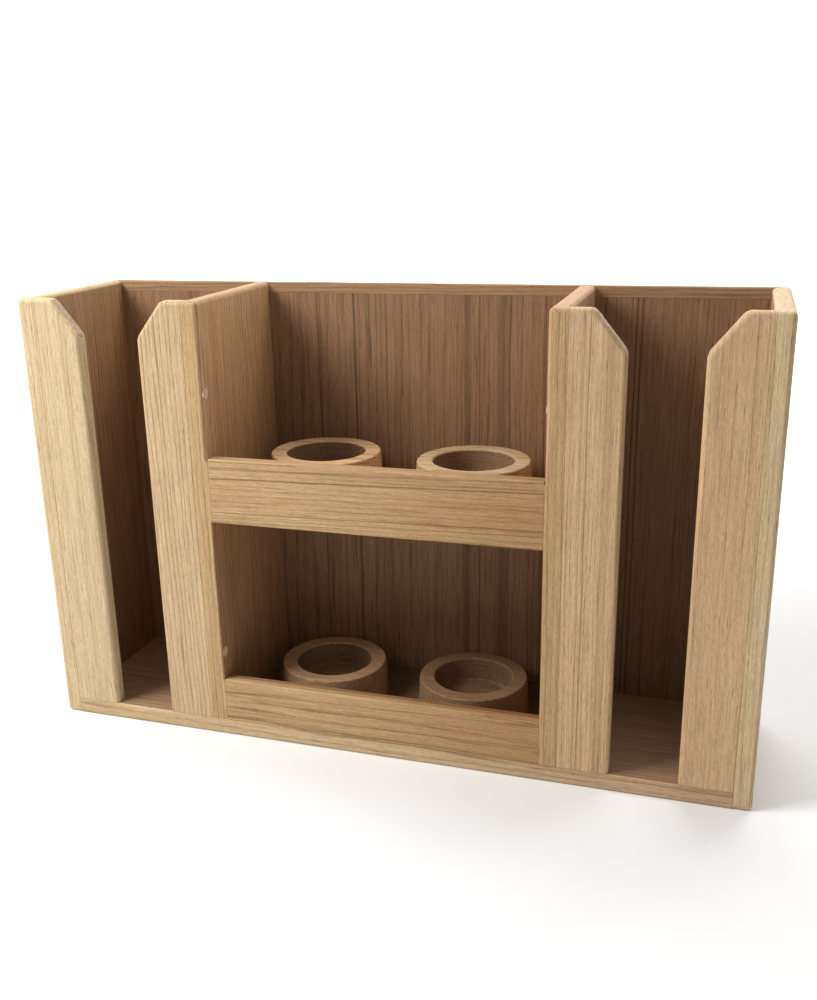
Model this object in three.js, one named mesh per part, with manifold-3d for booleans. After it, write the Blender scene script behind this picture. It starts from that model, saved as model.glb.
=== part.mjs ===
// Teak galley rack: two side bays with slotted fronts, and a middle bay with
// a shelf and four turned cups that hold glasses.
// Millimetres, +Z up. The origin is the centre of the footprint, on the
// underside, and the open front faces -Y.

import * as THREE from 'three';
import { RoundedBoxGeometry } from 'three/addons/geometries/RoundedBoxGeometry.js';
import { mergeVertices } from 'three/addons/utils/BufferGeometryUtils.js';
import Module from 'manifold-3d';

const wasm = await Module();
wasm.setup();

// Driving dimensions.
const width = 500;
const depth = 124;
const height = 313;
const boardThickness = 12;
const backThickness = 8;
const bayWidth = 112;             // clear width of each side bay
const stileWidth = 34;
const stileThickness = 10;
const chamferAcross = 19.5;       // sloped top corner of a stile
const chamferDown = 24.5;
const chamferSoftening = 2.5;     // where the rounding of its corners starts
const lowerRailHeight = 32;
const upperRailHeight = 45;
const shelfUnderside = 163;
const lippingHeight = 7.5;        // solid strip along the top of the back
const rebateDepth = 6;            // cut in a side panel for the back
const roundOver = 3;              // on the outside edges of the rack
const roundOverSteps = 2;

const cup = {
  spacing: 108,                   // between the centres of a pair
  centreY: 4,
  height: 26,
  topRadius: 39,
  footRadius: 40.5,
  recessRadius: 28,
  recessDepth: 18,
  pilotDepth: 4.5,                // blind hole for the screw from below
  ease: 1,                        // softened rims
  segments: 40,
};

const screw = {
  headRadius: 3.5,
  headHeight: 2.2,
  headRound: 1,
  shankRadius: 1.75,
  tipLength: 3,
  segments: 12,
};
const bung = { radius: 3.6, length: 3.7, segments: 16 };
const mouth = { radius: 4, depth: 4 };   // of a drilled hole, under its bung
const fitGap = 0.3;               // round a screw in its hole
const clear = 1;                  // how far a cutter stands out of the wood

// Places that follow from the driving dimensions.
const sideOuter = width / 2;
const sideInner = sideOuter - boardThickness;
const dividerOuter = sideInner - bayWidth;
const dividerInner = dividerOuter - boardThickness;
const front = -depth / 2;
const rear = depth / 2;
const backFace = rear - backThickness;
const railBack = front + stileThickness;
const stileMiddle = front + stileThickness / 2;
const baseTop = boardThickness;
const shelfTop = shelfUnderside + boardThickness;

const finishes = {
  board: { color: 0xb8935f, roughness: 0.62, metalness: 0 },
  stile: { color: 0xcaa873, roughness: 0.6, metalness: 0 },
  back: { color: 0x8f6b47, roughness: 0.68, metalness: 0 },
  cup: { color: 0xa37a50, roughness: 0.58, metalness: 0 },
  bung: { color: 0xd2b07c, roughness: 0.55, metalness: 0 },
  screw: { color: 0xb9bcc0, roughness: 0.3, metalness: 1 },
};

const rack = new THREE.Group();

function addPiece(name, geometry, finish) {
  const mesh = new THREE.Mesh(geometry, new THREE.MeshStandardMaterial(finish));
  mesh.name = name;
  rack.add(mesh);
}

// ---- Cutting and joining ----

function toSolid(geometry) {
  const bare = geometry.clone();
  bare.deleteAttribute('normal');
  bare.deleteAttribute('uv');
  const merged = mergeVertices(bare, 1e-4);
  return new wasm.Manifold(new wasm.Mesh({
    numProp: 3,
    vertProperties: Float32Array.from(merged.attributes.position.array),
    triVerts: Uint32Array.from(merged.index.array),
  }));
}

function toGeometry(solid) {
  const mesh = solid.getMesh();
  const geometry = new THREE.BufferGeometry();
  geometry.setAttribute('position', new THREE.BufferAttribute(mesh.vertProperties, 3));
  geometry.setIndex(new THREE.BufferAttribute(mesh.triVerts, 1));
  geometry.computeVertexNormals();
  return geometry;
}

// A box from its lowest to its highest corner.
function boxBetween(low, high) {
  const size = high.map((value, axis) => value - low[axis]);
  const geometry = new THREE.BoxGeometry(...size);
  geometry.translate(...low.map((value, axis) => value + size[axis] / 2));
  return geometry;
}

// The boards are glued up first and routed round afterwards, so each board is
// cut to this one softened outline of the whole rack.
const outline = toSolid(
  new RoundedBoxGeometry(width, depth, height, roundOverSteps, roundOver)
    .translate(0, 0, height / 2),
);

// ---- Screws and the bungs over them ----

// A turned geometry stands up +Y. This lays it along the direction in which
// its screw is driven, with its foot at the start point.
function layAlong(geometry, start, direction) {
  if (direction === '+z') geometry.rotateX(Math.PI / 2);
  if (direction === '+x') geometry.rotateZ(-Math.PI / 2);
  if (direction === '-x') geometry.rotateZ(Math.PI / 2);
  return geometry.translate(...start);
}

function onAxis(points) {
  return points.map(([radius, along]) => new THREE.Vector2(radius, along));
}

function bar(radius, from, to, segments) {
  const geometry = new THREE.CylinderGeometry(radius, radius, to - from, segments);
  return geometry.translate(0, (from + to) / 2, 0);
}

const fixings = [];

// A screw joins the first board to the second. Its head lies under a bung, or
// just below the surface where nothing covers it.
function addFixing(name, boards, start, direction, length, plugged) {
  const headFace = plugged ? mouth.depth : fitGap;
  const shoulder = headFace + screw.headHeight;
  const tip = headFace + length;
  const wide = bar(mouth.radius, -clear, shoulder + fitGap, bung.segments);
  const narrow = bar(screw.shankRadius + fitGap, headFace, tip + fitGap, screw.segments);
  const hole = toSolid(layAlong(wide, start, direction))
    .add(toSolid(layAlong(narrow, start, direction)));
  fixings.push({ name, boards, start, direction, plugged, headFace, shoulder, tip, hole });
}

function addScrewAndBung({ name, start, direction, plugged, headFace, shoulder, tip }) {
  const profile = onAxis([
    [0, headFace],
    [screw.headRadius - screw.headRound, headFace],
    [screw.headRadius, headFace + screw.headRound],
    [screw.headRadius, shoulder],
    [screw.shankRadius, shoulder],
    [screw.shankRadius, tip - screw.tipLength],
    [0, tip],
  ]);
  const body = new THREE.LatheGeometry(profile, screw.segments);
  addPiece(`screw_${name}`, layAlong(body, start, direction), finishes.screw);
  if (!plugged) return;
  const plug = bar(bung.radius, 0, bung.length, bung.segments);
  addPiece(`bung_${name}`, layAlong(plug, start, direction), finishes.bung);
}

const stileScrewHeights = { lower: 64, upper: 252 };
const endScrewPlaces = { front: -30, rear: 24 };
const railMiddles = {
  lower: baseTop + lowerRailHeight / 2,
  upper: shelfUnderside + upperRailHeight / 2,
};
const screwLength = { stile: 26, shelf: 28, base: 28, rail: 30, divider: 28, cup: 15 };

for (const [side, sign] of [['left', -1], ['right', 1]]) {
  const outward = sign < 0 ? '-x' : '+x';
  const inward = sign < 0 ? '+x' : '-x';
  const sidePanel = `side_panel_${side}`;
  const divider = `divider_${side}`;
  for (const [row, z] of Object.entries(stileScrewHeights)) {
    addFixing(`outer_stile_${row}_${side}`, [sidePanel, `outer_stile_${side}`],
      [sign * sideOuter, stileMiddle, z], inward, screwLength.stile, true);
    addFixing(`inner_stile_${row}_${side}`, [divider, `inner_stile_${side}`],
      [sign * dividerInner, stileMiddle, z], outward, screwLength.stile, true);
  }
  for (const [row, y] of Object.entries(endScrewPlaces)) {
    addFixing(`base_${row}_${side}`, [sidePanel, 'base_board'],
      [sign * sideOuter, y, baseTop / 2], inward, screwLength.base, true);
    addFixing(`shelf_${row}_${side}`, [divider, 'shelf'],
      [sign * dividerOuter, y, shelfTop - boardThickness / 2], inward, screwLength.shelf, true);
  }
  for (const [row, z] of Object.entries(railMiddles)) {
    addFixing(`${row}_rail_${side}`, [divider, `${row}_rail`],
      [sign * dividerOuter, stileMiddle, z], inward, screwLength.rail, false);
  }
  const dividerMiddle = sign * (dividerInner + boardThickness / 2);
  addFixing(`divider_${side}`, ['base_board', divider],
    [dividerMiddle, cup.centreY, 0], '+z', screwLength.divider, false);
  addFixing(`lower_cup_${side}`, ['base_board'],
    [sign * cup.spacing / 2, cup.centreY, 0], '+z', screwLength.cup, false);
  addFixing(`upper_cup_${side}`, ['shelf'],
    [sign * cup.spacing / 2, cup.centreY, shelfUnderside], '+z', screwLength.cup, false);
}

// ---- Boards ----

function addBoard(name, solid, finish) {
  let board = solid.intersect(outline);
  for (const fixing of fixings) {
    if (fixing.boards.includes(name)) board = board.subtract(fixing.hole);
  }
  addPiece(name, toGeometry(board), finish);
}

// The rear inner edge of a side panel is rebated for the back.
function sidePanelSolid(sign) {
  const low = sign < 0 ? -sideOuter : sideInner;
  const panel = toSolid(boxBetween([low, front, 0], [low + boardThickness, rear, height]));
  const rebateLow = sign < 0 ? -sideInner - rebateDepth : sideInner - clear;
  const rebate = toSolid(boxBetween(
    [rebateLow, backFace, -clear],
    [rebateLow + rebateDepth + clear, rear + clear, height + clear]));
  return panel.subtract(rebate);
}

// Front view of a stile, from its glued edge to the slot, as an extrusion.
function stileSolid(gluedEdge, slotEdge) {
  const across = Math.sign(slotEdge - gluedEdge);
  const slope = Math.hypot(chamferAcross, chamferDown);
  const softAcross = chamferSoftening * chamferAcross / slope;
  const softDown = chamferSoftening * chamferDown / slope;
  const shoulder = height - chamferDown;
  const peak = slotEdge - across * chamferAcross;
  const face = new THREE.Shape();
  face.moveTo(gluedEdge, baseTop);
  face.lineTo(slotEdge, baseTop);
  face.lineTo(slotEdge, shoulder - chamferSoftening);
  face.quadraticCurveTo(slotEdge, shoulder, slotEdge - across * softAcross, shoulder + softDown);
  face.lineTo(peak + across * softAcross, height - softDown);
  face.quadraticCurveTo(peak, height, peak - across * chamferSoftening, height);
  face.lineTo(gluedEdge, height);
  face.closePath();
  const geometry = new THREE.ExtrudeGeometry(face, {
    depth: stileThickness,
    bevelEnabled: false,
    curveSegments: 4,
  });
  return toSolid(geometry.rotateX(Math.PI / 2).translate(0, railBack, 0));
}

for (const [side, sign] of [['left', -1], ['right', 1]]) {
  addBoard(`side_panel_${side}`, sidePanelSolid(sign), finishes.board);
  const dividerLow = sign < 0 ? -dividerOuter : dividerInner;
  const divider = boxBetween(
    [dividerLow, front, baseTop], [dividerLow + boardThickness, backFace, height]);
  addBoard(`divider_${side}`, toSolid(divider), finishes.board);
  const outerSlotEdge = sign * (sideInner - stileWidth);
  const innerSlotEdge = sign * (dividerOuter + stileWidth);
  addBoard(`outer_stile_${side}`, stileSolid(sign * sideInner, outerSlotEdge), finishes.stile);
  addBoard(`inner_stile_${side}`, stileSolid(sign * dividerOuter, innerSlotEdge), finishes.stile);
}

const base = boxBetween([-sideInner, front, 0], [sideInner, backFace, baseTop]);
addBoard('base_board', toSolid(base), finishes.board);

const shelf = boxBetween(
  [-dividerInner, railBack, shelfUnderside], [dividerInner, backFace, shelfTop]);
addBoard('shelf', toSolid(shelf), finishes.board);

const lowerRail = boxBetween(
  [-dividerInner, front, baseTop], [dividerInner, railBack, baseTop + lowerRailHeight]);
addBoard('lower_rail', toSolid(lowerRail), finishes.board);

const upperRail = boxBetween(
  [-dividerInner, front, shelfUnderside],
  [dividerInner, railBack, shelfUnderside + upperRailHeight]);
addBoard('upper_rail', toSolid(upperRail), finishes.board);

const backHalfWidth = sideInner + rebateDepth;
const lippingLow = height - lippingHeight;
const back = boxBetween([-backHalfWidth, backFace, 0], [backHalfWidth, rear, lippingLow]);
addBoard('back_panel', toSolid(back), finishes.back);

const lipping = boxBetween([-backHalfWidth, backFace, lippingLow], [backHalfWidth, rear, height]);
addBoard('back_lipping', toSolid(lipping), finishes.back);

// ---- Turned cups ----

// Half section, from the top of the pilot hole round to the recess floor.
const cupProfile = onAxis([
  [0, cup.pilotDepth],
  [screw.shankRadius + fitGap, cup.pilotDepth],
  [screw.shankRadius + fitGap, 0],
  [cup.footRadius, 0],
  [cup.topRadius, cup.height - cup.ease],
  [cup.topRadius - cup.ease, cup.height],
  [cup.recessRadius + cup.ease, cup.height],
  [cup.recessRadius, cup.height - cup.ease],
  [cup.recessRadius, cup.height - cup.recessDepth],
  [0, cup.height - cup.recessDepth],
]);

for (const [level, floor] of [['lower', baseTop], ['upper', shelfTop]]) {
  for (const [side, sign] of [['left', -1], ['right', 1]]) {
    const body = new THREE.LatheGeometry(cupProfile, cup.segments);
    const place = [sign * cup.spacing / 2, cup.centreY, floor];
    addPiece(`${level}_cup_${side}`, layAlong(body, place, '+z'), finishes.cup);
  }
}

fixings.forEach(addScrewAndBung);

export default rack;
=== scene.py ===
import math

import bmesh
import bpy
from mathutils import Matrix, Vector


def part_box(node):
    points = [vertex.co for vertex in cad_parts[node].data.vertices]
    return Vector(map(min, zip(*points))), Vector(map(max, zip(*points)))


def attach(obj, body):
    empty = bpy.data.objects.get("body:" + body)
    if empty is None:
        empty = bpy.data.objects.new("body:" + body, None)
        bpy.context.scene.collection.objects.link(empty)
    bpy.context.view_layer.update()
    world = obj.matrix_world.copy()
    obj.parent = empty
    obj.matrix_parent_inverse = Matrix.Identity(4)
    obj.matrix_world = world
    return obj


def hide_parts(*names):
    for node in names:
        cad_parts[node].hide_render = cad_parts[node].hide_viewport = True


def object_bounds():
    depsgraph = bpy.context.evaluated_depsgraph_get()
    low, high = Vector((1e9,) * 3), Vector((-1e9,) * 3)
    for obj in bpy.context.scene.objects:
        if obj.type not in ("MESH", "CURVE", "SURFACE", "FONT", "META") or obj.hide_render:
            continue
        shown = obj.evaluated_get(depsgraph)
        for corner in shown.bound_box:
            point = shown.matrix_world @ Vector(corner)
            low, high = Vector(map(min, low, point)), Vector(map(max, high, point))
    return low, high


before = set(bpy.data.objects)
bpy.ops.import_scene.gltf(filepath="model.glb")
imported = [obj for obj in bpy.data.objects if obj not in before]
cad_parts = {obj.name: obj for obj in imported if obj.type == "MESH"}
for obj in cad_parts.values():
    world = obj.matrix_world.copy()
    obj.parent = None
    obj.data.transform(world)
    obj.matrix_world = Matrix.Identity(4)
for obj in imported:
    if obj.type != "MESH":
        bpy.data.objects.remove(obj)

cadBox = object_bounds()
tiny = 1e-5      # metres, how near a corner must be to count as on a line
weld = 1e-6      # metres, corners nearer than this are merged
facing = 0.9     # how squarely a face must look one way to be picked, 1 for dead square
up = Vector((0, 0, 1))

# places taken from the frame

rackLow, rackHigh = (Vector(corner) for corner in cadBox)


def lowOf(node):
    return Vector(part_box(node)[0])


def highOf(node):
    return Vector(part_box(node)[1])


frontY = rackLow.y
topZ = rackHigh.z
floorZ = rackLow.z
baseTopZ = highOf("base_board").z
stileBackY = highOf("outer_stile_left").y
backFaceY = lowOf("back_panel").y


# modelling helpers

softEdge = {
    "radius": 0.003,        # outer edges of the boards
    "railRadius": 0.0012,
    "steps": 5,
    "ease": 0.0003,         # on edges that are left square
    "easeSteps": 2,
    "square": 50,           # degrees, from where an edge counts as square
    "smooth": 40,           # degrees, up to where faces are shaded as one
}


def pieceName(node):
    first, *others = node.split("_")
    return first + "".join(word.capitalize() for word in others)


def pickOnly(piece):
    if bpy.context.object and bpy.context.object.mode != "OBJECT":
        bpy.ops.object.mode_set(mode="OBJECT")
    bpy.ops.object.select_all(action="DESELECT")
    piece.select_set(True)
    bpy.context.view_layer.objects.active = piece


def startBlock(name, low, high):
    # a block between two corners, with its place in its mesh
    bpy.ops.object.select_all(action="DESELECT")
    bpy.ops.mesh.primitive_cube_add(size=1, location=(low + high) / 2, scale=high - low)
    piece = bpy.context.object
    piece.name = name
    bpy.ops.object.transform_apply(location=True, rotation=True, scale=True)
    return piece


def blockFor(node):
    return startBlock(pieceName(node), lowOf(node), highOf(node))


def cutAcross(piece, axis, places):
    # cuts the faces right round the piece at each place, and leaves them joined
    normal = Vector((axis == "x", axis == "y", axis == "z"))
    pickOnly(piece)
    bpy.ops.object.mode_set(mode="EDIT")
    for place in places:
        bpy.ops.mesh.select_all(action="SELECT")
        bpy.ops.mesh.bisect(plane_co=normal * place, plane_no=normal)
    bpy.ops.object.mode_set(mode="OBJECT")


def liesOn(edge, line):
    # a line is {"x": ..., "y": ...} with an optional "from" and "to" along its run
    a, b = (vert.co for vert in edge.verts)
    for axis in "xyz":
        if axis in line:
            if abs(getattr(a, axis) - line[axis]) > tiny or abs(getattr(b, axis) - line[axis]) > tiny:
                return False
        else:
            middle = (getattr(a, axis) + getattr(b, axis)) / 2
            if not line.get("from", -math.inf) < middle < line.get("to", math.inf):
                return False
    return True


def roundWhere(piece, chosen, radius, steps):
    # rounds the edges for which chosen(edge) is true
    pickOnly(piece)
    bpy.ops.object.mode_set(mode="EDIT")
    bpy.ops.mesh.select_mode(type="EDGE")
    bpy.ops.mesh.select_all(action="DESELECT")
    shape = bmesh.from_edit_mesh(piece.data)
    for edge in shape.edges:
        edge.select = chosen(edge)
    bmesh.update_edit_mesh(piece.data)
    bpy.ops.mesh.bevel(offset=radius, offset_type="OFFSET", segments=steps, profile=0.5, affect="EDGES")
    bpy.ops.object.mode_set(mode="OBJECT")


def roundEdges(piece, lines, radius, steps):
    roundWhere(piece, lambda edge: any(liesOn(edge, line) for line in lines), radius, steps)


def easeSharpEdges(piece, width):
    # takes the last sharpness off every edge that is still square
    pickOnly(piece)
    bpy.ops.object.mode_set(mode="EDIT")
    bpy.ops.mesh.select_mode(type="EDGE")
    bpy.ops.mesh.select_all(action="DESELECT")
    bpy.ops.mesh.edges_select_sharp(sharpness=math.radians(softEdge["square"]))
    bpy.ops.mesh.bevel(offset=width, offset_type="OFFSET", segments=softEdge["easeSteps"],
                       profile=0.5, affect="EDGES")
    bpy.ops.object.mode_set(mode="OBJECT")


bore = {
    "radius": 0.004,
    "sides": 32,
    "screwDepth": 0.0026,   # of a hole for a screw head
    "clear": 0.0003,        # by which the drill overruns each end of a bung
}


def addRod(name, centre, radius, length, axis, sides):
    turns = {"x": (0, math.pi / 2, 0), "y": (math.pi / 2, 0, 0), "z": (0, 0, 0)}
    bpy.ops.object.select_all(action="DESELECT")
    bpy.ops.mesh.primitive_cylinder_add(vertices=sides, radius=radius, depth=length,
                                        location=centre, rotation=turns[axis])
    piece = bpy.context.object
    piece.name = name
    bpy.ops.object.transform_apply(location=True, rotation=True, scale=True)
    return piece


def cutAway(piece, cutter):
    pickOnly(piece)
    cut = piece.modifiers.new("cut", "BOOLEAN")
    cut.operation = "DIFFERENCE"
    cut.solver = "EXACT"
    cut.object = cutter
    bpy.ops.object.modifier_apply(modifier=cut.name)
    bpy.data.objects.remove(cutter)


def boreHoles(piece, nodes, axis):
    # a flat-bottomed hole along x for each bung, or from below for each screw head
    for node in nodes:
        low, high = lowOf(node), highOf(node)
        centre = (low + high) / 2
        if axis == "z":
            centre.z = low.z - bore["clear"]
            length = 2 * bore["screwDepth"] + 2 * bore["clear"]
        else:
            length = high.x - low.x + 2 * bore["clear"]
        cutAway(piece, addRod("drill", centre, bore["radius"], length, axis, bore["sides"]))


def finishPiece(piece, slotName, material, *nodes):
    pickOnly(piece)
    bpy.ops.object.mode_set(mode="EDIT")
    bpy.ops.mesh.select_all(action="SELECT")
    bpy.ops.mesh.remove_doubles(threshold=weld)
    bpy.ops.mesh.normals_make_consistent(inside=False)
    bpy.ops.object.mode_set(mode="OBJECT")
    bpy.ops.object.shade_smooth_by_angle(angle=math.radians(softEdge["smooth"]))
    weighted = piece.modifiers.new("flatFaces", "WEIGHTED_NORMAL")
    weighted.keep_sharp = True
    bpy.ops.object.modifier_apply(modifier=weighted.name)
    piece.data.materials.clear()
    piece.data.materials.append(material)
    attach(piece, "root")
    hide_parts(*nodes)


def shadeFaces(piece, material, toward):
    # gives the faces that look this way a second material
    piece.data.materials.append(material)
    for face in piece.data.polygons:
        if face.normal.dot(toward) > facing:
            face.material_index = 1


# teak

turnToGrain = {  # brings the board's long grain onto the pattern's z axis
    "z": (0, 0, 0),
    "x": (0, math.radians(-90), 0),
    "y": (math.radians(90), 0, 0),
}


def addNode(tree, kind, x, y, **values):
    node = tree.nodes.new(kind)
    node.location = (x, y)
    for key, value in values.items():
        if key in node.inputs:
            node.inputs[key].default_value = value
        else:
            setattr(node, key, value)
    return node


def setRamp(node, stops):
    ramp = node.color_ramp
    while len(ramp.elements) > 1:
        ramp.elements.remove(ramp.elements[-1])
    ramp.elements[0].position = stops[0][0]
    ramp.elements[0].color = (*stops[0][1], 1)
    for place, colour in stops[1:]:
        ramp.elements.new(place).color = (*colour, 1)


def grey(value):
    return (value, value, value)


def mixColours(tree, x, y, blend, factor, first, second):
    # each of factor, first and second is a socket or a plain value; on a Mix node the colours
    # are inputs 6 and 7 and output 2
    node = addNode(tree, "ShaderNodeMix", x, y, data_type="RGBA", blend_type=blend)
    for socket, value in ((node.inputs[0], factor), (node.inputs[6], first), (node.inputs[7], second)):
        if isinstance(value, bpy.types.NodeSocket):
            tree.links.new(value, socket)
        elif isinstance(value, (int, float)):
            socket.default_value = value
        else:
            socket.default_value = (*value, 1)
    return node.outputs[2]


def addRamp(tree, x, y, source, stops):
    node = addNode(tree, "ShaderNodeValToRGB", x, y)
    setRamp(node, stops)
    tree.links.new(source, node.inputs["Fac"])
    return node.outputs["Color"]


def addStretch(tree, x, y, source, along, shift):
    # draws the pattern out along the grain into lines
    node = addNode(tree, "ShaderNodeMapping", x, y, vector_type="POINT")
    node.inputs["Scale"].default_value = (1, 1, along)
    node.inputs["Location"].default_value = shift
    tree.links.new(source, node.inputs["Vector"])
    return node.outputs["Vector"]


def addNoise(tree, x, y, source, scale, detail, roughness):
    node = addNode(tree, "ShaderNodeTexNoise", x, y)
    node.inputs["Scale"].default_value = scale
    node.inputs["Detail"].default_value = detail
    node.inputs["Roughness"].default_value = roughness
    tree.links.new(source, node.inputs["Vector"])
    return node.outputs["Fac"]


def addMath(tree, x, y, operation, *values):
    node = addNode(tree, "ShaderNodeMath", x, y, operation=operation)
    for socket, value in zip(node.inputs, values):
        if isinstance(value, bpy.types.NodeSocket):
            tree.links.new(value, socket)
        else:
            socket.default_value = value
    return node.outputs[0]


def addLines(tree, x, y, source, wood):
    # dark growth lines at chosen places across the board, in metres on the pattern's x axis
    split = addNode(tree, "ShaderNodeSeparateXYZ", x, y)
    tree.links.new(source, split.inputs[0])
    wobbleSpace = addStretch(tree, x - 200, y - 150, source, wood["lineStretch"], (wood["shift"], 0, 0))
    wobble = addNoise(tree, x, y - 150, wobbleSpace, wood["lineScale"], *wood["lineNoise"])
    offset = addMath(tree, x + 200, y - 150, "MULTIPLY", wobble, wood["lineWander"])
    leaning = addMath(tree, x + 200, y, "MULTIPLY_ADD", split.outputs["Z"], wood["lineLean"],
                      split.outputs["X"])
    across = addMath(tree, x + 400, y, "ADD", leaning, offset)
    total = None
    for at, width, depth in wood["lines"]:
        y += 180
        away = addMath(tree, x + 600, y, "SUBTRACT", across, at + wood["lineWander"] / 2)
        distance = addMath(tree, x + 750, y, "ABSOLUTE", away, 0)
        fade = addNode(tree, "ShaderNodeMapRange", x + 900, y, interpolation_type="SMOOTHSTEP")
        fade.inputs["From Max"].default_value = width / 2
        fade.inputs["To Min"].default_value = depth
        fade.inputs["To Max"].default_value = 0
        tree.links.new(distance, fade.inputs["Value"])
        line = fade.outputs[0]
        total = line if total is None else addMath(tree, x + 1100, y, "MAXIMUM", total, line)
    return total


def makeTeak(name, wood):
    material = bpy.data.materials.new(name)
    material.use_nodes = True
    tree = material.node_tree
    tree.nodes.clear()
    link = tree.links.new
    coords = addNode(tree, "ShaderNodeTexCoord", -2000, 0)
    turned = addNode(tree, "ShaderNodeMapping", -1800, 0, vector_type="POINT")
    turned.inputs["Rotation"].default_value = turnToGrain[wood["grain"]]
    link(coords.outputs["Object"], turned.inputs["Vector"])
    along = turned.outputs["Vector"]

    # growth rings about a pith that lies off to one side and leans a little
    pith = addNode(tree, "ShaderNodeMapping", -1600, 400, vector_type="POINT")
    pith.inputs["Location"].default_value = (*wood["pith"], wood["shift"])
    pith.inputs["Rotation"].default_value = [math.radians(angle) for angle in (*wood["lean"], 0)]
    link(along, pith.inputs["Vector"])
    ringSpace = addStretch(tree, -1400, 400, pith.outputs["Vector"], wood["wander"], (0, 0, 0))
    rings = addNode(tree, "ShaderNodeTexWave", -1200, 400, wave_type="RINGS", rings_direction="Z",
                    wave_profile="SAW")
    # at scale 1 this texture draws a ring every pi / 10 metres
    rings.inputs["Scale"].default_value = math.pi / 10 / wood["ringWidth"]
    rings.inputs["Distortion"].default_value = wood["waviness"]
    rings.inputs["Detail"].default_value = wood["waveNoise"][0]
    rings.inputs["Detail Scale"].default_value = wood["waveScale"]
    rings.inputs["Detail Roughness"].default_value = wood["waveNoise"][1]
    link(ringSpace, rings.inputs["Vector"])
    ringTone = addRamp(tree, -1000, 400, rings.outputs["Fac"], wood["ringRamp"])

    # fibres, specks, wider streaks and a slow drift of tone
    shift = wood["shift"]
    space = addStretch(tree, -1600, -100, along, wood["fibreStretch"], (shift, 0.7 * shift, 0))
    speckSpace = addStretch(tree, -1600, -250, along, wood["speckStretch"], (0, shift, 0))
    tones = {}
    for part, place, source in (("fibre", 100, space), ("speck", 250, speckSpace),
                                ("streak", -100, space), ("drift", -300, space)):
        noise = addNoise(tree, -1200, place, source, wood[part + "Scale"], *wood[part + "Noise"])
        low, high = wood[part + "Span"]
        dark, pale = (wood["driftDark"], grey(1)) if part == "drift" else (grey(0), grey(1))
        tones[part] = addRamp(tree, -1000, place, noise, [(low, dark), (high, pale)])

    # pores, short and dark, thickest where a ring starts
    poreSpace = addStretch(tree, -1600, -550, along, wood["poreStretch"], (0, 0, shift))
    pores = addNode(tree, "ShaderNodeTexVoronoi", -1200, -550, feature="F1")
    pores.inputs["Scale"].default_value = wood["poreScale"]
    link(poreSpace, pores.inputs["Vector"])
    core, rim = wood["poreSpan"]
    poreTone = addRamp(tree, -1000, -550, pores.outputs["Distance"], [(core, grey(1)), (rim, grey(0))])
    crowded = addMath(tree, -800, -450, "MULTIPLY_ADD", ringTone, wood["poreCrowding"],
                      1 - wood["poreCrowding"])
    poreAmount = addMath(tree, -600, -550, "MULTIPLY", poreTone, crowded)
    poreShare = addMath(tree, -400, -550, "MULTIPLY", poreAmount, wood["poreDepth"])

    # some rings are strong and some can hardly be seen
    ringShare = addMath(tree, -800, 400, "MULTIPLY_ADD", tones["streak"], -wood["ringFade"], 1)
    ringAmount = addMath(tree, -600, 400, "MULTIPLY", ringTone, ringShare)
    ringed = mixColours(tree, -400, 300, "MIX", ringAmount, wood["pale"], wood["dark"])
    fibreColour = mixColours(tree, -600, 100, "MIX", tones["fibre"], wood["fibreDark"], wood["fibrePale"])
    fibred = mixColours(tree, -200, 250, "MULTIPLY", 1.0, ringed, fibreColour)
    speckColour = mixColours(tree, -600, 250, "MIX", tones["speck"], wood["speckDark"], wood["speckPale"])
    specked = mixColours(tree, -100, 250, "MULTIPLY", 1.0, fibred, speckColour)
    streakColour = mixColours(tree, -600, -100, "MIX", tones["streak"], wood["streakDark"], grey(1))
    streaked = mixColours(tree, 0, 200, "MULTIPLY", 1.0, specked, streakColour)
    drifted = mixColours(tree, 200, 150, "MULTIPLY", 1.0, streaked, tones["drift"])
    if wood["endTone"]:
        # tints one end of the board
        split = addNode(tree, "ShaderNodeSeparateXYZ", -200, 600)
        link(along, split.inputs[0])
        end = addNode(tree, "ShaderNodeMapRange", 0, 600, interpolation_type="SMOOTHSTEP")
        end.inputs["From Min"].default_value, end.inputs["From Max"].default_value = wood["endSpan"]
        link(split.outputs["Z"], end.inputs["Value"])
        drifted = mixColours(tree, 250, 500, "MULTIPLY", end.outputs[0], drifted, wood["endTone"])
    if wood["lines"]:
        lineShare = addLines(tree, -1000, 750, along, wood)
        drifted = mixColours(tree, 300, 300, "MIX", lineShare, drifted, wood["lineColour"])
    colour = mixColours(tree, 400, 50, "MIX", poreShare, drifted, wood["poreColour"])

    shader = addNode(tree, "ShaderNodeBsdfPrincipled", 800, 0)
    shader.inputs["Specular IOR Level"].default_value = wood["shine"]
    link(colour, shader.inputs["Base Color"])
    rough = addNode(tree, "ShaderNodeMapRange", 550, -150)
    rough.inputs["To Min"].default_value = wood["rough"] + wood["roughSpread"]
    rough.inputs["To Max"].default_value = wood["rough"] - wood["roughSpread"]
    link(tones["fibre"], rough.inputs["Value"])
    link(rough.outputs[0], shader.inputs["Roughness"])
    # fibres stand up and pores sink in
    relief = addMath(tree, 350, -350, "SUBTRACT", tones["fibre"], poreTone)
    bump = addNode(tree, "ShaderNodeBump", 550, -400)
    bump.inputs["Strength"].default_value = wood["bump"]
    bump.inputs["Distance"].default_value = wood["relief"]
    link(relief, bump.inputs["Height"])
    link(bump.outputs[0], shader.inputs["Normal"])
    output = addNode(tree, "ShaderNodeOutputMaterial", 1050, 0)
    link(shader.outputs[0], output.inputs["Surface"])
    return material


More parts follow.
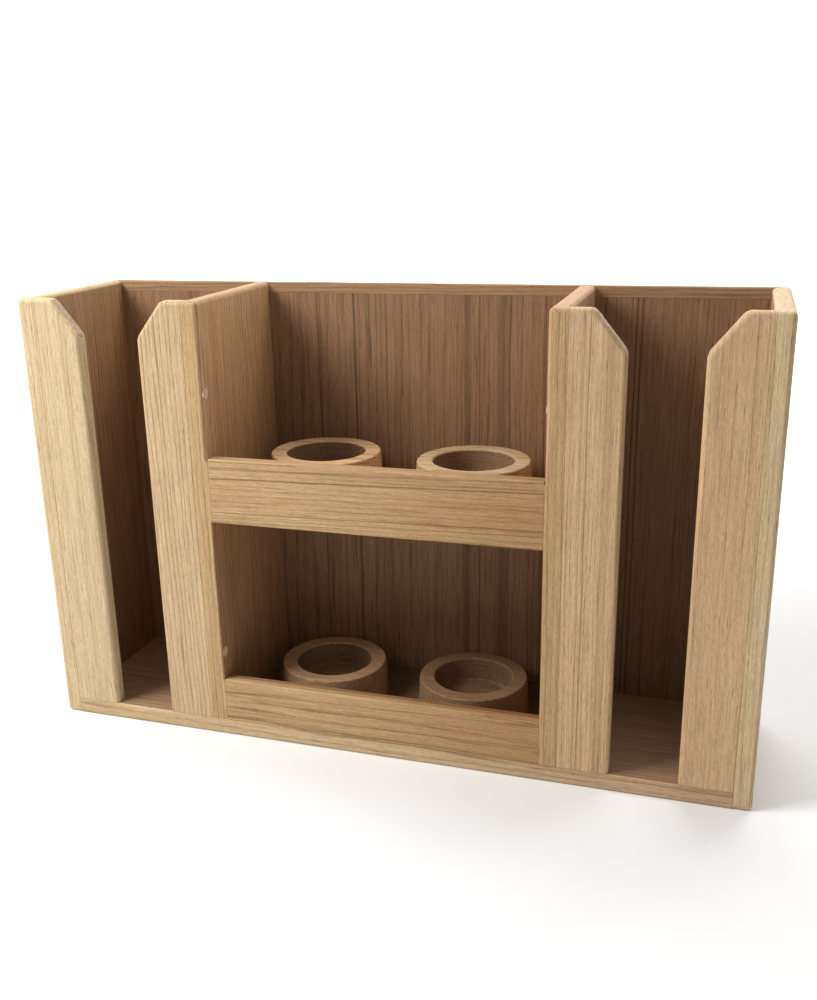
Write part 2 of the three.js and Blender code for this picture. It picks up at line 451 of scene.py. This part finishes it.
plainLook = {
    "grain": "z",
    "pith": (0.3, 0.1),          # metres from the origin to the heart of the tree
    "lean": (0.6, 0.4),          # degrees
    "shift": 0,                  # picks another stretch of the same tree
    "wander": 0.05,              # how fast rings wander along the board, against across it
    "ringWidth": 0.004,
    "ringRamp": [(0, grey(0.6)), (0.05, grey(0.03)), (0.62, grey(0.06)), (0.85, grey(0.3)),
                 (0.94, grey(0.9)), (1, grey(1))],
    "ringFade": 0.55,
    "waviness": 7,
    "waveScale": 1.1,
    "waveNoise": (3, 0.6),       # detail and roughness, here and in each Noise below
    "pale": (0.66, 0.49, 0.30),
    "dark": (0.36, 0.24, 0.125),
    "fibreStretch": 0.02,        # scale along the board, against across it
    "fibreScale": 1250,
    "fibreNoise": (4, 0.65),
    "fibreSpan": (0.32, 0.68),   # where the noise turns from dark to pale
    "fibreDark": (0.76, 0.71, 0.66),
    "fibrePale": (1.10, 1.10, 1.09),
    "speckStretch": 0.14,
    "speckScale": 2300,
    "speckNoise": (2, 0.6),
    "speckSpan": (0.36, 0.64),
    "speckDark": (0.87, 0.85, 0.83),
    "speckPale": (1.09, 1.09, 1.085),
    "streakScale": 170,
    "streakNoise": (3, 0.55),
    "streakSpan": (0.34, 0.62),
    "streakDark": (0.92, 0.89, 0.85),
    "driftScale": 22,
    "driftNoise": (2, 0.5),
    "driftSpan": (0.32, 0.66),
    "driftDark": (0.93, 0.90, 0.87),
    "poreStretch": 0.07,
    "poreScale": 780,
    "poreSpan": (0.12, 0.27),    # dark core and outer rim of a pore
    "poreCrowding": 0.65,        # how much of a pore's depth follows the dark of its ring
    "poreDepth": 0.8,
    "poreColour": (0.17, 0.10, 0.045),
    "endTone": None,             # tint of the far end of the board, reached over endSpan
    "endSpan": (0, 1),
    "lines": [],                 # (place, width, strength) of single dark lines
    "lineLean": 0,
    "lineWander": 0.003,
    "lineStretch": 0.06,
    "lineScale": 90,
    "lineNoise": (2, 0.5),
    "lineColour": (0.16, 0.09, 0.045),
    "rough": 0.62,
    "roughSpread": 0.08,
    "shine": 0.25,
    "bump": 0.25,
    "relief": 0.0002,            # metres
}


def look(**changes):
    return {**plainLook, **changes}


# side panels


def makeSidePanel(side, sign, material, shadedInsideMaterial):
    node = f"side_panel_{side}"
    low, high = lowOf(node), highOf(node)
    outerX = low.x if sign < 0 else high.x
    innerX = high.x if sign < 0 else low.x
    tongueX = highOf("back_panel").x if sign > 0 else lowOf("back_panel").x
    # plan of the panel, with the rear tongue that covers the edge of the back
    bpy.ops.object.select_all(action="DESELECT")
    bpy.ops.mesh.primitive_plane_add(size=1)
    piece = bpy.context.object
    piece.name = pieceName(node)
    bpy.ops.object.mode_set(mode="EDIT")
    bpy.ops.mesh.select_all(action="SELECT")
    bpy.ops.transform.resize(value=(high.x - low.x, backFaceY - low.y, 1), center_override=(0, 0, 0))
    bpy.ops.transform.translate(value=((low.x + high.x) / 2, (low.y + backFaceY) / 2, floorZ))
    bpy.ops.mesh.bisect(plane_co=(tongueX, 0, 0), plane_no=(1, 0, 0))
    bpy.ops.mesh.select_mode(type="EDGE")
    bpy.ops.mesh.select_all(action="DESELECT")
    plan = bmesh.from_edit_mesh(piece.data)
    for edge in plan.edges:
        middle = (edge.verts[0].co + edge.verts[1].co) / 2
        beyond = (middle.x - tongueX) * sign > tiny
        edge.select = abs(middle.y - backFaceY) < tiny and beyond
    bmesh.update_edit_mesh(piece.data)
    bpy.ops.mesh.extrude_region_move(TRANSFORM_OT_translate={"value": (0, high.y - backFaceY, 0)})
    bpy.ops.mesh.select_mode(type="FACE")
    bpy.ops.mesh.select_all(action="SELECT")
    bpy.ops.mesh.extrude_region_move(TRANSFORM_OT_translate={"value": (0, 0, topZ - floorZ)})
    bpy.ops.mesh.select_all(action="SELECT")
    bpy.ops.mesh.normals_make_consistent(inside=False)
    bpy.ops.mesh.dissolve_limited(angle_limit=0.01)
    bpy.ops.object.mode_set(mode="OBJECT")
    cutAcross(piece, "y", [stileBackY])
    roundEdges(piece, [
        {"x": outerX, "y": frontY}, {"x": outerX, "y": high.y},
        {"x": outerX, "z": topZ}, {"x": outerX, "z": floorZ},
        {"y": frontY, "z": topZ}, {"y": frontY, "z": floorZ},
        {"y": high.y, "z": topZ}, {"y": high.y, "z": floorZ},
        {"x": innerX, "z": topZ, "from": stileBackY, "to": backFaceY},
    ], softEdge["radius"], softEdge["steps"])
    easeSharpEdges(piece, softEdge["ease"])
    boreHoles(piece, [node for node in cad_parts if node.endswith(f"_{side}") and (
        node.startswith("bung_outer_stile") or node.startswith("bung_base"))], "x")
    finishPiece(piece, "board_teak", material, node)
    # the inside faces take the painted shade
    shadeFaces(piece, shadedInsideMaterial, Vector((-sign, 0, 0)))


panelLook = look(pith=(0.45, 0.06), shift=0.3, pale=(0.70, 0.545, 0.335), dark=(0.48, 0.35, 0.20))
sidePanelTeak = makeTeak("sidePanelTeak", panelLook)
# painted shade: the inside faces get a darker copy of the panel's teak, darker still towards the bottom
panelInside = makeTeak("panelInside", {
    **panelLook, "pale": (0.49, 0.315, 0.175), "dark": (0.22, 0.125, 0.065),
    "pith": (0.1, 0.4), "ringWidth": 0.0034, "ringFade": 0.3,
    "endTone": (0.64, 0.57, 0.54), "endSpan": (0.30, 0.17)})
for side, sign in (("left", -1), ("right", 1)):
    makeSidePanel(side, sign, sidePanelTeak, panelInside)
print("side panels made")

# dividers

lowerRailTop = highOf("lower_rail").z
upperRailLow = lowOf("upper_rail").z
upperRailTop = highOf("upper_rail").z


def makeDivider(side, sign, material, frontMaterial):
    node = f"divider_{side}"
    low, high = lowOf(node), highOf(node)
    bayX = high.x if sign > 0 else low.x       # the face towards the side bay
    middleX = low.x if sign > 0 else high.x    # the face towards the cups
    piece = blockFor(node)
    cutAcross(piece, "z", [lowerRailTop, upperRailLow, upperRailTop])
    cutAcross(piece, "y", [stileBackY])
    roundEdges(piece, [
        {"x": middleX, "y": frontY, "from": upperRailTop, "to": topZ},
        {"x": middleX, "z": topZ},
        {"y": frontY, "z": topZ},
        {"x": bayX, "z": topZ, "from": stileBackY, "to": backFaceY},
    ], softEdge["radius"], softEdge["steps"])
    roundEdges(piece, [{"x": middleX, "y": frontY, "from": lowerRailTop, "to": upperRailLow}],
               softEdge["railRadius"], softEdge["steps"])
    easeSharpEdges(piece, softEdge["ease"])
    boreHoles(piece, [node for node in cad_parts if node.endswith(f"_{side}") and (
        node.startswith("bung_inner_stile") or node.startswith("bung_shelf"))], "x")
    finishPiece(piece, "board_teak", material, node)
    shadeFaces(piece, frontMaterial, Vector((0, -1, 0)))


# painted shade: the dividers turn darker towards the bottom (endTone over endSpan)
dividerTeak = makeTeak("dividerTeak", look(pith=(0.08, 0.45), ringWidth=0.0036, shift=1.3, ringFade=0.35,
                                         pale=(0.655, 0.43, 0.235), dark=(0.28, 0.16, 0.08),
                                         fibreDark=(0.66, 0.60, 0.54), poreDepth=0.9,
                                         endTone=(0.85, 0.79, 0.78), endSpan=(0.29, 0.17)))
dividerFront = makeTeak("dividerFront", look(pith=(0.3, 0.1), shift=1.3,
                                           pale=(0.58, 0.41, 0.212), dark=(0.35, 0.227, 0.11)))
for side, sign in (("left", -1), ("right", 1)):
    makeDivider(side, sign, dividerTeak, dividerFront)
print("dividers made")

# stiles

stile = {
    "chamferAcross": 0.0195,
    "chamferDown": 0.0245,
    "cornerRound": 0.0028,
    "cornerSteps": 4,
    "frontRound": 0.003,
    "backRound": 0.0025,
    "outlineAngle": 1,      # radians, from where two faces meet in an edge of the outline
}


def makeStile(node, slotSign, material, endMaterial):
    # slotSign is the way from the glued edge to the slot, along x
    low, high = lowOf(node), highOf(node)
    slotX, gluedX = (high.x, low.x) if slotSign > 0 else (low.x, high.x)
    piece = blockFor(node)
    pickOnly(piece)
    bpy.ops.object.mode_set(mode="EDIT")
    bpy.ops.mesh.select_all(action="SELECT")
    peak = Vector((slotX - slotSign * stile["chamferAcross"], 0, topZ))
    away = Vector((slotSign * stile["chamferDown"], 0, stile["chamferAcross"]))
    bpy.ops.mesh.bisect(plane_co=peak, plane_no=away.normalized(), use_fill=True, clear_outer=True)
    bpy.ops.object.mode_set(mode="OBJECT")
    roundEdges(piece, [{"x": peak.x, "z": topZ}, {"x": slotX, "z": topZ - stile["chamferDown"]}],
               stile["cornerRound"], stile["cornerSteps"])
    softenOutline(piece, frontY, gluedX, low.z, stile["frontRound"])
    softenOutline(piece, high.y, gluedX, low.z, stile["backRound"])
    easeSharpEdges(piece, softEdge["ease"])
    finishPiece(piece, "stile_teak", material, node)
    shadeFaces(piece, endMaterial, away.normalized())


def softenOutline(piece, planeY, gluedX, footZ, radius):
    # rounds the top, the slope and the slot edge, where they meet one broad face
    def inOutline(edge):
        onPlane = all(abs(vert.co.y - planeY) < tiny for vert in edge.verts)
        glued = all(abs(vert.co.x - gluedX) < tiny for vert in edge.verts)
        foot = all(abs(vert.co.z - footZ) < tiny for vert in edge.verts)
        corner = len(edge.link_faces) == 2 and edge.calc_face_angle(0) > stile["outlineAngle"]
        return onPlane and corner and not glued and not foot

    roundWhere(piece, inOutline, radius, softEdge["steps"])


stileLooks = {
    "outer_stile_left": look(pith=(0.5, 0.02), ringWidth=0.0035, shift=2.1, ringFade=0.8,
                             pale=(0.69, 0.555, 0.35), dark=(0.51, 0.385, 0.23)),
    "inner_stile_left": look(pith=(0.32, 0.08), ringWidth=0.0036, lean=(1.2, 0.9), shift=3.3, ringFade=0.3,
                             pale=(0.675, 0.52, 0.315), dark=(0.33, 0.22, 0.11)),
    "inner_stile_right": look(pith=(-0.42, 0.04), ringWidth=0.003, shift=4.7,
                              pale=(0.67, 0.48, 0.28), dark=(0.43, 0.285, 0.155),
                              lines=[(0.152, 0.010, 0.22), (0.1385, 0.0014, 0.6), (0.1355, 0.0010, 0.4)]),
    "outer_stile_right": look(pith=(-0.6, 0.02), ringWidth=0.005, shift=5.9, ringFade=0.9,
                              pale=(0.68, 0.485, 0.285), dark=(0.46, 0.31, 0.17)),
}
endGrain = {"pale": (0.56, 0.42, 0.30), "dark": (0.40, 0.28, 0.19), "poreScale": 1500, "poreDepth": 0.9}
for node, slotSign in (("outer_stile_left", 1), ("inner_stile_left", -1),
                       ("inner_stile_right", 1), ("outer_stile_right", -1)):
    endLook = {**stileLooks[node], **endGrain, "lines": []}
    makeStile(node, slotSign, makeTeak(f"{node}_teak", stileLooks[node]), makeTeak(f"{node}_end", endLook))
print("stiles made")

# base, shelf and rails

baseLook = look(grain="x", pith=(0.1, 0.2), shift=6.1, pale=(0.68, 0.525, 0.315), dark=(0.39, 0.265, 0.14),
                endTone=(0.86, 0.80, 0.80), endSpan=(0, 0.2))
baseTeak = makeTeak("baseTeak", baseLook)
# painted shade: the up-facing floors of the base and the shelf get a darker copy of the base's teak
insideTeak = makeTeak("insideTeak", {**baseLook, "pale": (0.43, 0.29, 0.175), "dark": (0.22, 0.135, 0.075)})
# painted shade: the middle bay's floor gets a darker copy again
wornTeak = makeTeak("wornTeak", {**baseLook, "pale": (0.21, 0.135, 0.08), "dark": (0.11, 0.068, 0.038)})
baseFront = {"round": 0.002, "steps": 4}
shelfEase = 0.0005

base = blockFor("base_board")
slotEdges = [highOf("outer_stile_left").x, lowOf("inner_stile_left").x,
             highOf("inner_stile_right").x, lowOf("outer_stile_right").x]
cutAcross(base, "x", slotEdges)
bayLow, bayHigh = highOf("divider_left").x, lowOf("divider_right").x
cutAcross(base, "x", [bayLow, bayHigh])
roundEdges(base, [
    {"y": frontY, "z": floorZ},
    {"y": frontY, "z": baseTopZ, "from": slotEdges[0], "to": slotEdges[1]},
    {"y": frontY, "z": baseTopZ, "from": slotEdges[2], "to": slotEdges[3]},
], baseFront["round"], baseFront["steps"])
easeSharpEdges(base, softEdge["ease"])
boreHoles(base, [f"screw_{joint}_{side}" for joint in ("divider", "lower_cup")
                 for side in ("left", "right")], "z")
finishPiece(base, "board_teak", baseTeak, "base_board")
shadeFaces(base, insideTeak, up)
base.data.materials.append(wornTeak)
for face in base.data.polygons:
    # painted shade: the floor of the middle bay is darker than those of the side bays
    if face.material_index == 1 and bayLow < face.center.x < bayHigh:
        face.material_index = 2

shelf = blockFor("shelf")
easeSharpEdges(shelf, shelfEase)
boreHoles(shelf, [f"screw_upper_cup_{side}" for side in ("left", "right")], "z")
finishPiece(shelf, "board_teak", baseTeak, "shelf")
# painted shade on the shelf's top
shadeFaces(shelf, insideTeak, up)

railLook = look(grain="x", pith=(0.06, 0.15), lean=(0.3, 0.6), shift=7.7, ringWidth=0.0032,
                pale=(0.60, 0.42, 0.222), dark=(0.33, 0.21, 0.10),
                endTone=(0.80, 0.72, 0.64), endSpan=(-0.06, 0.12),
                lineLean=0.022, lineWander=0.002,
                lines=[(-0.1975, 0.0018, 0.8), (-0.2040, 0.0012, 0.5),
                       (-0.1735, 0.0014, 0.6), (-0.1695, 0.0012, 0.5),
                       (-0.0370, 0.0012, 0.6), (-0.0300, 0.0010, 0.4),
                       (-0.0215, 0.0014, 0.5)])
railTeak = makeTeak("railTeak", railLook)
# painted shade: a darker copy of the rail's teak for the upper rail's top
railTop = makeTeak("railTop", {**railLook, "pale": (0.50, 0.345, 0.205), "dark": (0.3, 0.19, 0.105)})
railRear = makeTeak("railRear", {**railLook, "pale": (0.40, 0.225, 0.115), "dark": (0.26, 0.135, 0.065)})
rearShadeStrip = {"depth": 0.005, "upward": 0.3}  # painted shade: a dark strip along the rear of the lower rail's top
for node in ("lower_rail", "upper_rail"):
    low, high = lowOf(node), highOf(node)
    rearY = high.y - rearShadeStrip["depth"]
    rail = blockFor(node)
    lines = [{"y": frontY, "z": high.z}, {"y": high.y, "z": high.z}]
    if node == "upper_rail":
        lines.append({"y": frontY, "z": low.z})
    roundEdges(rail, lines, softEdge["railRadius"], softEdge["steps"])
    easeSharpEdges(rail, softEdge["ease"])
    if node == "lower_rail":
        cutAcross(rail, "y", [rearY])
    finishPiece(rail, "rail_teak", railTeak, node)
    if node == "upper_rail":
        shadeFaces(rail, railTop, up)
        continue
    # the rear strip takes the painted shade
    rail.data.materials.append(railRear)
    for face in rail.data.polygons:
        if face.center.y > rearY and face.normal.z > rearShadeStrip["upward"]:
            face.material_index = 1
print("base, shelf and rails made")

# back and its lipping

backTeak = makeTeak("backTeak", look(
    pith=(0.2, 0.25), shift=8.3, ringWidth=0.0027, ringFade=0.7,
    pale=(0.34, 0.203, 0.112), dark=(0.175, 0.1, 0.054),
    fibreDark=(0.66, 0.60, 0.55), poreDepth=0.85, poreColour=(0.07, 0.042, 0.024),
    lineColour=(0.075, 0.043, 0.024),
    lines=[(-0.076, 0.0022, 0.7), (-0.048, 0.0034, 0.85), (-0.023, 0.0020, 0.6),
           (0.037, 0.0080, 0.5), (0.046, 0.0020, 0.6),
           (0.063, 0.0120, 0.45), (0.068, 0.0020, 0.6), (0.093, 0.0020, 0.7),
           (0.154, 0.0022, 0.85), (0.158, 0.0020, 0.85)]))
back = blockFor("back_panel")
roundEdges(back, [{"y": rackHigh.y, "z": floorZ}], softEdge["radius"], softEdge["steps"])
easeSharpEdges(back, softEdge["ease"])
finishPiece(back, "back_teak", backTeak, "back_panel")

lippingTeak = makeTeak("lippingTeak", look(grain="x", pith=(0.02, 0.2), ringWidth=0.0024, ringFade=0.3,
                                           pale=(0.41, 0.255, 0.14), dark=(0.18, 0.10, 0.05), shift=9.1))
lippingFront = {"round": 0.001, "steps": 3}
lipping = blockFor("back_lipping")
roundEdges(lipping, [{"y": rackHigh.y, "z": topZ}], softEdge["radius"], softEdge["steps"])
roundEdges(lipping, [{"y": backFaceY, "z": topZ}], lippingFront["round"], lippingFront["steps"])
easeSharpEdges(lipping, softEdge["ease"])
finishPiece(lipping, "back_teak", lippingTeak, "back_lipping")
print("back made")

# turned cups

cup = {
    "topRadius": 0.039,
    "recessRadius": 0.028,
    "recessDepth": 0.018,
    "floorInset": 0.006,
    "sides": 96,
    "rim": (0.0012, 3),     # radius and steps of each rounded edge
    "mouth": (0.0014, 3),
    "floor": (0.002, 4),
    "foot": (0.0006, 2),
    "ringSlack": 2e-4,      # how far off its circle a corner may lie
    "lipDepth": 0.0003,     # how far below the rim the recess's painted shade starts
}


def selectRings(piece, centre, height, radius):
    # edges that run round at this height and distance from the cup's centre line
    shape = bmesh.from_edit_mesh(piece.data)
    for edge in shape.edges:
        edge.select = all(
            abs(vert.co.z - height) < tiny
            and abs(math.hypot(vert.co.x - centre.x, vert.co.y - centre.y) - radius) < cup["ringSlack"]
            for vert in edge.verts)
    bmesh.update_edit_mesh(piece.data)


def selectFlats(piece, upward):
    bpy.ops.mesh.select_mode(type="FACE")
    bpy.ops.mesh.select_all(action="DESELECT")
    shape = bmesh.from_edit_mesh(piece.data)
    for face in shape.faces:
        face.select = face.normal.z > facing if upward else face.normal.z < -facing
    bmesh.update_edit_mesh(piece.data)


def turnCup(node):
    low, high = lowOf(node), highOf(node)
    centre = (low + high) / 2
    footRadius = (high.x - low.x) / 2
    piece = addRod(pieceName(node), centre, cup["topRadius"], high.z - low.z, "z", cup["sides"])
    bpy.ops.object.mode_set(mode="EDIT")
    selectFlats(piece, upward=False)
    spread = footRadius / cup["topRadius"]
    bpy.ops.transform.resize(value=(spread, spread, 1), center_override=(centre.x, centre.y, low.z))
    selectFlats(piece, upward=True)
    bpy.ops.mesh.inset(thickness=cup["topRadius"] - cup["recessRadius"], use_even_offset=True)
    bpy.ops.mesh.extrude_region_move(TRANSFORM_OT_translate={"value": (0, 0, -cup["recessDepth"])})
    bpy.ops.mesh.inset(thickness=cup["floorInset"])
    bpy.ops.mesh.select_mode(type="EDGE")
    for height, radius, (amount, steps) in (
            (high.z, cup["topRadius"], cup["rim"]),
            (high.z, cup["recessRadius"], cup["mouth"]),
            (high.z - cup["recessDepth"], cup["recessRadius"], cup["floor"]),
            (low.z, footRadius, cup["foot"])):
        bpy.ops.mesh.select_all(action="DESELECT")
        selectRings(piece, centre, height, radius)
        bpy.ops.mesh.bevel(offset=amount, segments=steps, profile=0.5, affect="EDGES")
    bpy.ops.object.mode_set(mode="OBJECT")
    return piece


def copyTo(piece, fromNode, toNode):
    pickOnly(piece)
    bpy.ops.object.duplicate(linked=False)
    twin = bpy.context.object
    twin.name = pieceName(toNode)
    shift = (lowOf(toNode) + highOf(toNode) - lowOf(fromNode) - highOf(fromNode)) / 2
    bpy.ops.transform.translate(value=shift)
    bpy.ops.object.transform_apply(location=True, rotation=False, scale=False)
    return twin


def shadeRecess(piece, node, material):
    # painted shade: the wall and floor of the recess are darker than the rim
    centre = (lowOf(node) + highOf(node)) / 2
    piece.data.materials.append(material)
    for face in piece.data.polygons:
        away = math.hypot(face.center.x - centre.x, face.center.y - centre.y)
        inside = away < cup["recessRadius"] + tiny and face.center.z < highOf(node).z - cup["lipDepth"]
        if inside and face.normal.z > -facing:
            face.material_index = 1


cupLooks = {
    "lower_cup_left": look(grain="x", pith=(0.06, 0.05), ringWidth=0.0022, ringFade=0.2, shift=10,
                           pale=(0.58, 0.375, 0.225), dark=(0.26, 0.155, 0.085)),
    # painted shade: the lower right cup's tones are darker than the others'
    "lower_cup_right": look(grain="x", pith=(0.07, 0.06), ringWidth=0.0022, ringFade=0.2, shift=11,
                            pale=(0.34, 0.212, 0.12), dark=(0.19, 0.11, 0.06)),
    "upper_cup_left": look(grain="x", pith=(0.07, 0.03), ringWidth=0.0025, ringFade=0.2, shift=12,
                           pale=(0.72, 0.49, 0.27), dark=(0.33, 0.2, 0.1)),
    "upper_cup_right": look(grain="x", pith=(0.06, 0.05), ringWidth=0.0025, ringFade=0.3, shift=13,
                            pale=(0.54, 0.40, 0.23), dark=(0.31, 0.2, 0.105)),
}
firstCup = "lower_cup_left"
turned = {firstCup: turnCup(firstCup)}
for node in cupLooks:
    if node != firstCup:
        turned[node] = copyTo(turned[firstCup], firstCup, node)
for node, rimLook in cupLooks.items():
    finishPiece(turned[node], "cup_teak", makeTeak(f"{node}_teak", rimLook), node)
    # the recess tone is painted shade
    recessShadeLook = {**rimLook, "pale": (0.29, 0.18, 0.105), "dark": (0.19, 0.115, 0.065)}
    shadeRecess(turned[node], node, makeTeak(f"{node}_recess", recessShadeLook))
print("cups made")

# bungs and screws

bungTeak = makeTeak("bungTeak", look(pale=(0.86, 0.66, 0.42), dark=(0.72, 0.52, 0.3), shift=14))
steelLook = {
    "tones": [(0.3, (0.5, 0.5, 0.51)), (0.7, (0.68, 0.68, 0.7))],
    "grainScale": 2500,
    "rough": (0.25, 0.45),
}


def makeSteel(name):
    material = bpy.data.materials.new(name)
    material.use_nodes = True
    tree = material.node_tree
    shader = tree.nodes["Principled BSDF"]
    shader.inputs["Metallic"].default_value = 1
    coords = addNode(tree, "ShaderNodeTexCoord", -800, 0)
    noise = addNoise(tree, -600, 0, coords.outputs["Object"], steelLook["grainScale"], 2, 0.5)
    tree.links.new(addRamp(tree, -400, 0, noise, steelLook["tones"]), shader.inputs["Base Color"])
    rough = addNode(tree, "ShaderNodeMapRange", -400, -250)
    rough.inputs["To Min"].default_value, rough.inputs["To Max"].default_value = steelLook["rough"]
    tree.links.new(noise, rough.inputs["Value"])
    tree.links.new(rough.outputs[0], shader.inputs["Roughness"])
    return material


steel = makeSteel("screwSteel")
bungShape = {"radius": 0.00385, "proud": 0.00005, "ease": 0.00025}
bungs = [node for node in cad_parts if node.startswith("bung_")]


def makeBung(node):
    low, high = lowOf(node), highOf(node)
    piece = addRod(pieceName(node), (low + high) / 2, bungShape["radius"],
                   high.x - low.x + 2 * bungShape["proud"], "x", bore["sides"])
    easeSharpEdges(piece, bungShape["ease"])
    return piece


plugs = {bungs[0]: makeBung(bungs[0])}
for node in bungs[1:]:
    plugs[node] = copyTo(plugs[bungs[0]], bungs[0], node)
for node, plug in plugs.items():
    finishPiece(plug, "bung_teak", bungTeak, node)

# screws whose heads can be seen from below: the first of each length, and those like it
seenScrews = {
    "screw_divider_left": ["screw_divider_right"],
    "screw_lower_cup_left": ["screw_lower_cup_right", "screw_upper_cup_left", "screw_upper_cup_right"],
}
screw = {
    "headRadius": 0.0035,
    "headHeight": 0.0022,
    "headRound": 0.0009,
    "headSteps": 4,
    "shankRadius": 0.00175,
    "sides": 32,
    "tip": 0.004,
    "tipShare": 0.15,       # width of the point against the shank
    "crossLength": 0.0040,
    "crossWidth": 0.0009,
    "crossDepth": 0.0012,
}


def makeScrew(node):
    low, high = lowOf(node), highOf(node)
    centre = (low + high) / 2
    middle = Vector((centre.x, centre.y, low.z + screw["headHeight"] / 2))
    piece = addRod(pieceName(node), middle, screw["headRadius"], screw["headHeight"], "z",
                   screw["sides"])
    bpy.ops.object.mode_set(mode="EDIT")
    selectFlats(piece, upward=True)
    bpy.ops.mesh.inset(thickness=screw["headRadius"] - screw["shankRadius"])
    straight = high.z - low.z - screw["headHeight"] - screw["tip"]
    bpy.ops.mesh.extrude_region_move(TRANSFORM_OT_translate={"value": (0, 0, straight)})
    bpy.ops.mesh.extrude_region_move(TRANSFORM_OT_translate={"value": (0, 0, screw["tip"])})
    bpy.ops.transform.resize(value=(screw["tipShare"], screw["tipShare"], 1),
                             center_override=(centre.x, centre.y, high.z))
    bpy.ops.object.mode_set(mode="OBJECT")
    roundWhere(piece, lambda edge: all(abs(vert.co.z - low.z) < tiny for vert in edge.verts),
               screw["headRound"], screw["headSteps"])
    for size in ((screw["crossLength"], screw["crossWidth"]), (screw["crossWidth"], screw["crossLength"])):
        half = Vector((size[0] / 2, size[1] / 2, screw["crossDepth"]))
        foot = Vector((centre.x, centre.y, low.z))
        cutAway(piece, startBlock("driver", foot - half, foot + half))
    return piece


driven = {}
for first, others in seenScrews.items():
    driven[first] = makeScrew(first)
    for node in others:
        driven[node] = copyTo(driven[first], first, node)
for node, piece in driven.items():
    finishPiece(piece, "screw_steel", steel, node)
# the other screws are buried in the boards
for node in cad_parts:
    if node.startswith("screw_") and node not in driven:
        bpy.data.objects[node].data.materials.clear()
        bpy.data.objects[node].data.materials.append(steel)
print("bungs and screws made")

# floor, light and camera

studio = {
    "floorSize": 20,
    "sweepBack": 2.6,       # metres from the rack to the foot of the sweep
    "sweepHeight": 4,
    "sweepRound": 1.6,
    "sweepSteps": 24,
    "paper": [(0.3, grey(0.92)), (0.7, grey(0.94))],
    "paperScale": 3,
    "paperRough": 0.9,
    "paperShine": 0.1,
    "air": 0.33,            # strength of the light from all round
}
bpy.ops.object.select_all(action="DESELECT")
bpy.ops.mesh.primitive_plane_add(size=studio["floorSize"],
                                 location=(0, studio["sweepBack"] - studio["floorSize"] / 2, floorZ))
sweep = bpy.context.object
sweep.name = "studioSweep"
bpy.ops.object.transform_apply(location=True, rotation=True, scale=True)
bpy.ops.object.mode_set(mode="EDIT")
bpy.ops.mesh.select_mode(type="EDGE")
bpy.ops.mesh.select_all(action="DESELECT")
paper = bmesh.from_edit_mesh(sweep.data)
for edge in paper.edges:
    edge.select = liesOn(edge, {"y": studio["sweepBack"]})
bmesh.update_edit_mesh(sweep.data)
bpy.ops.mesh.extrude_region_move(TRANSFORM_OT_translate={"value": (0, 0, studio["sweepHeight"])})
bpy.ops.object.mode_set(mode="OBJECT")
roundEdges(sweep, [{"y": studio["sweepBack"], "z": floorZ}], studio["sweepRound"],
           studio["sweepSteps"])
bpy.ops.object.shade_smooth()
paperWhite = bpy.data.materials.new("paleStudioPaper")
paperWhite.use_nodes = True
paperTree = paperWhite.node_tree
paperShader = paperTree.nodes["Principled BSDF"]
paperShader.inputs["Roughness"].default_value = studio["paperRough"]
paperShader.inputs["Specular IOR Level"].default_value = studio["paperShine"]
paperSpace = addNode(paperTree, "ShaderNodeTexCoord", -800, 0)
paperNoise = addNoise(paperTree, -600, 0, paperSpace.outputs["Object"], studio["paperScale"], 2, 0.5)
paperTone = addRamp(paperTree, -400, 0, paperNoise, studio["paper"])
paperTree.links.new(paperTone, paperShader.inputs["Base Color"])
sweep.data.materials.append(paperWhite)

scene = bpy.context.scene
world = bpy.data.worlds.new("studioAir")
scene.world = world
world.use_nodes = True
world.node_tree.nodes["Background"].inputs["Color"].default_value = (1, 1, 1, 1)
world.node_tree.nodes["Background"].inputs["Strength"].default_value = studio["air"]
scene.view_settings.view_transform = "Standard"


def addSoftbox(name, place, size, power, aim):
    lamp = bpy.data.lights.new(name, "AREA")
    lamp.shape = "RECTANGLE"
    lamp.size, lamp.size_y = size
    lamp.energy = power
    holder = bpy.data.objects.new(name, lamp)
    scene.collection.objects.link(holder)
    holder.location = place
    holder.rotation_euler = (Vector(aim) - Vector(place)).to_track_quat("-Z", "Y").to_euler()


softboxes = {
    "keyLight": {"place": (-0.62, -0.42, 0.80), "size": (0.45, 0.45), "power": 10, "aim": (0, 0, 0.15)},
    "topLight": {"place": (0.20, 0.30, 1.05), "size": (0.5, 0.5), "power": 5, "aim": (0, 0, 0.3)},
    "backdropLight": {"place": (0, 0.75, 1.4), "size": (6, 1.8), "power": 130, "aim": (0, 2.6, 0.9)},
}
for name, values in softboxes.items():
    addSoftbox(name, **values)

view = {
    "place": (0.22103, -0.68796, 0.39596),
    "yaw": 18.468,          # degrees, to the left
    "pitch": -18.109,
    "roll": -1.425,
    "lens": 47.407,         # millimetres, as is the width of the sensor
    "sensor": 36,
    "shift": (0.02735, 0.0159),
    "nearest": 0.01,        # metres, nothing nearer to the camera is seen
}
lens = bpy.data.cameras.new("camera")
lens.sensor_fit = "HORIZONTAL"
lens.sensor_width = view["sensor"]
lens.lens = view["lens"]
lens.shift_x, lens.shift_y = view["shift"]
lens.clip_start = view["nearest"]
camera = bpy.data.objects.new("camera", lens)
scene.collection.objects.link(camera)
camera.location = view["place"]
turn = Matrix.Rotation(math.radians(view["yaw"]), 3, "Z")
tilt = Matrix.Rotation(math.radians(90 + view["pitch"]), 3, "X")
bank = Matrix.Rotation(math.radians(view["roll"]), 3, "Z")
camera.rotation_euler = (turn @ tilt @ bank).to_euler()
scene.camera = camera
print("stage set")
